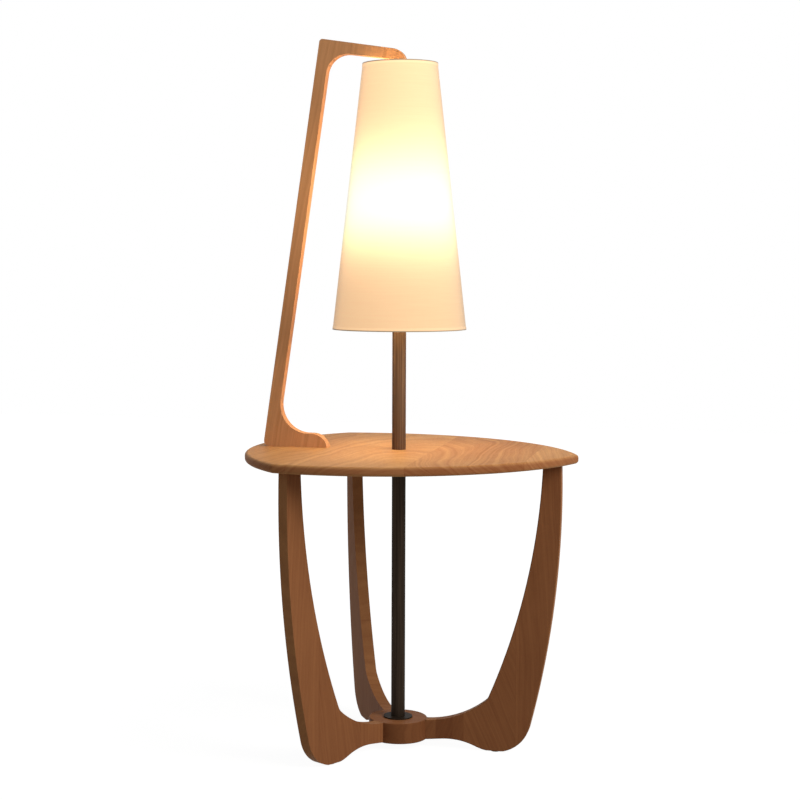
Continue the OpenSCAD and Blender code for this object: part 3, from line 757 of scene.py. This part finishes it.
def finish_cad():
    """Gives each CAD node that no piece replaces the material of its slot, and the upper post a paler bronze
    with painted light.
    """
    finishes = {
        "dowel_beech": wood("dowel beech", DOWEL_PALE, DOWEL_DARK, "Z", "X"),
        "bronze_metal": bronze("dark bronze", (66, 54, 44), (44, 36, 29)),
        "steel": metal("zinc plate", (178, 178, 174), (150, 150, 148), 0.35),
        "brass": metal("brass", (206, 168, 96), (176, 136, 70), 0.3),
        "black_plastic": moulded("black phenolic", (30, 29, 28), (20, 20, 20), 0.45),
        "ceramic": moulded("ceramic", (228, 224, 214), (212, 206, 194), 0.5),
        "opal_glass": opal("opal glass"),
    }
    # The upper post's paler bronze is painted light: the glow of the shade above it and the lit tabletop
    # below, on the same lacquer as the lower post.
    painted_lit_bronze = bronze("bronze with painted light", (126, 97, 73), (87, 64, 47))
    for row in frame["record"]["subparts"]:
        if row["material_slot"] not in finishes:
            continue
        data = frame["nodes"][row["node"]].data
        data.materials.clear()
        data.materials.append(painted_lit_bronze if row["node"] == "upper_post" else finishes[row["material_slot"]])
        data.shade_smooth()
        data.set_sharp_from_angle(angle=math.radians(SHARP_CAD))


# Light, floor and camera
def lamp(name, kind, place, power, colour, **settings):
    """A lamp of Blender's kind AREA or POINT."""
    data = bpy.data.lights.new(name, kind)
    data.energy = power
    data.color = colour
    for key, value in settings.items():
        setattr(data, key, value)
    made = bpy.data.objects.new(name, data)
    made.location = place
    bpy.context.scene.collection.objects.link(made)
    return made


def softbox(name, azimuth, elevation, distance, size, power, colour):
    """A square lamp that faces the object. Azimuth 0 is in front, and 90 on the +X side."""
    a, e = math.radians(azimuth), math.radians(elevation)
    away = Vector((math.sin(a) * math.cos(e), -math.cos(a) * math.cos(e), math.sin(e)))
    made = lamp(name, "AREA", Vector(AIM) + away * distance, power, colour, size=size)
    made.rotation_euler = away.to_track_quat("Z", "Y").to_euler()


def light_rims():
    """The bulb's light that leaves the shade below and above."""
    for name, height, away, power in RIM_LAMPS:
        for turn in LAMP_TURNS:
            lamp(f"glow {name} {turn}", "POINT", polar(away, turn, height), power, LAMP_COLOUR,
                 shadow_soft_size=LAMP_BALL_R)


def light_arm():
    """The light that the arm gets through the cloth: a ball lamp on each side, for the arm alone."""
    only_arm = bpy.data.collections.new("lit through the cloth")
    only_arm.objects.link(bpy.data.objects["arm_board"])
    for turn in THROUGH_TURNS:
        place = polar(THROUGH_R, turn, bulb_middle + GLOW_RISE)
        made = lamp(f"through {turn}", "POINT", place, THROUGH_POWER, THROUGH_COLOUR,
                    shadow_soft_size=THROUGH_R / 2)
        made.visible_camera = False
        made.visible_glossy = False
        made.light_linking.receiver_collection = only_arm
        made.light_linking.blocker_collection = only_arm


def shown(n):
    """1 for rays that show a surface, also in metal and glass, and 0 for the light that falls on it."""
    rays = n.node("LightPath").outputs
    share = rays["Is Camera Ray"]
    for name in ("Is Glossy Ray", "Is Transmission Ray"):
        share = n.math("MAXIMUM", share, rays[name])
    return share


def make_world():
    """A room that looks white and lights the object with an even, slightly cool light."""
    world = bpy.data.worlds.new("white room")
    world.use_nodes = True
    n = Tree(world.node_tree)
    room = n.tree.nodes["Background"]
    n.set(room, "Color", ROOM_COLOUR)
    n.set(room, "Strength", ROOM_LIGHT)
    white = n.add("Background", {"Color": WHITE})
    both = n.add("MixShader", {0: shown(n), 1: room.outputs[0], 2: white})
    n.set(n.tree.nodes["World Output"], "Surface", both)
    bpy.context.scene.world = world


def make_floor():
    """A white floor, most of whose white is its own, more so away from the object, with a faint shadow."""
    mesh = bmesh.new()
    bmesh.ops.create_grid(mesh, x_segments=2, y_segments=2, size=FLOOR_HALF)
    data = bpy.data.meshes.new("floor")
    mesh.to_mesh(data)
    mesh.free()
    floor = bpy.data.objects.new("floor", data)
    bpy.context.scene.collection.objects.link(floor)
    material = bpy.data.materials.new("floor")
    material.use_nodes = True
    n = Tree(material.node_tree)
    n.tree.nodes.remove(n.tree.nodes["Principled BSDF"])
    away = n.vector("LENGTH", n.add("TexCoord", out="Object"), out="Value")
    white = n.add("Emission", {"Strength": n.remap(away, FLOOR_NEAR, FLOOR_FAR, *FLOOR_WHITE)})
    paint = n.add("BsdfDiffuse", {"Color": FLOOR_PAINT})
    both = n.add("MixShader", {0: n.math("MULTIPLY", shown(n), FLOOR_SHARE), 1: paint, 2: white})
    n.set(n.tree.nodes["Material Output"], "Surface", both)
    data.materials.append(material)


def make_camera():
    """The photograph's view: from the front, a little to the right and level with the shade's lower part."""
    data = bpy.data.cameras.new("camera")
    data.sensor_width = SENSOR_MM
    data.lens = FOCAL_PX / IMAGE_PX * data.sensor_width
    data.shift_x = 0.5 - CENTRE_PX[0] / IMAGE_PX
    data.shift_y = CENTRE_PX[1] / IMAGE_PX - 0.5
    camera = bpy.data.objects.new("camera", data)
    camera.location = CAMERA_PLACE
    camera.rotation_euler = (math.radians(90 - CAMERA_DIP), 0, math.radians(CAMERA_TURN))
    bpy.context.scene.collection.objects.link(camera)
    bpy.context.scene.camera = camera


make_wood()
make_pads(felt("felt", (112, 88, 70), (60, 45, 34)))
make_shade(cloth=woven("shade cloth", (152, 136, 110), (144, 128, 102), glow=1.0),
           liner=woven("shade liner", (190, 178, 154), (180, 166, 142), glow=0.45),
           hem=woven("shade hem", (170, 154, 128), (160, 142, 116), glow=1.08, fold=FOLD_LIGHT))
finish_cad()
make_world()
make_floor()
make_camera()
softbox("key", KEY_AZIMUTH, KEY_ELEVATION, KEY_DISTANCE, KEY_SIZE, KEY_POWER, KEY_COLOUR)
light_rims()
light_arm()

scene = bpy.context.scene
scene.view_settings.view_transform = "Standard"
